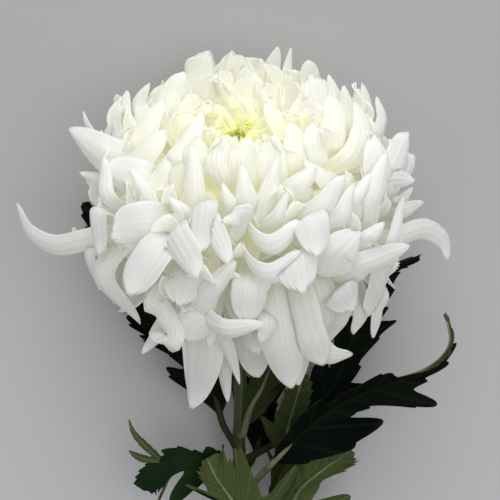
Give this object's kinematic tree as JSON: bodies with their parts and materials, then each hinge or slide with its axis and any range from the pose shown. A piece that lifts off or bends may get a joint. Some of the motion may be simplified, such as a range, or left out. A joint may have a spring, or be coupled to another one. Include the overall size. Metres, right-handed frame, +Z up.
{
  "type": "pompon chrysanthemum",
  "caption": "Cut pompon chrysanthemum lying on its side: one large globular white bloom with a lime-yellow heart on a short leafy stem.",
  "frame": {"origin": "on the table under the middle of the flower's bounding box", "axes": "+Z up from the table, +Y along the stem from its cut end to the bloom, +X to the right of that"},
  "size_m": [0.1651, 0.3585, 0.1045],
  "materials": {
    "petal": "soft matte petals",
    "young_petal": "soft matte petals",
    "stem": "matte, finely ridged",
    "leaf": "satin upper side, dull underside"
  },
  "bodies": {
    "root": {"bloom": "petal", "centre_florets": "young_petal", "stem": "stem", "leaf_1": "leaf", "leaf_2": "leaf", "leaf_3": "leaf", "leaf_4": "leaf", "leaf_5": "leaf", "leaf_6": "leaf", "leaf_7": "leaf", "leaf_8": "leaf", "leaf_9": "leaf", "leaf_10": "leaf"}
  },
  "joints": []
}
